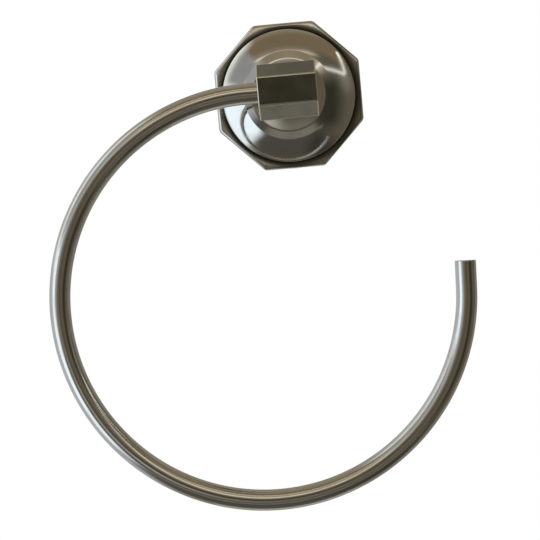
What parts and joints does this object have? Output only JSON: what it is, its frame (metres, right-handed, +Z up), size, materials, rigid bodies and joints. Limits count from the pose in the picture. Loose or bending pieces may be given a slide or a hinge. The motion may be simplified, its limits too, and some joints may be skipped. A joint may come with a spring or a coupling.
{
  "type": "towel ring",
  "caption": "Wall-mounted open towel ring: a bent round rod held in a hexagonal block on a neck, with a round dome on an octagonal base and a hidden wall bracket.",
  "frame": {"origin": "centre of the back face, in the plane of the wall", "axes": "+Z up, -Y out from the wall towards the viewer, +X to the viewer's right"},
  "size_m": [0.1664, 0.0575, 0.1912],
  "materials": {
    "cast_plate": "cast, antique nickel plated and lightly polished, darker in the well",
    "spun_dome": "spun, antique nickel plated and polished, faint turning marks",
    "hex_bar": "machined hexagonal bar, satin antique nickel, polished edges",
    "ring_bar": "drawn round rod, antique nickel, polished along its length with a few pits",
    "post": "turned, antique nickel",
    "zinc_fixing": "zinc plated steel",
    "black_screw": "blackened steel"
  },
  "bodies": {
    "root": {"octagon_base": "cast_plate", "dome_flange": "spun_dome", "neck_post": "post", "hex_block": "hex_bar", "ring_rod": "ring_bar", "rod_grub_screw": "black_screw", "bracket_grub_screw": "black_screw", "clamp_screw": "zinc_fixing", "lock_washer": "zinc_fixing", "wall_bracket": "zinc_fixing"}
  },
  "joints": []
}
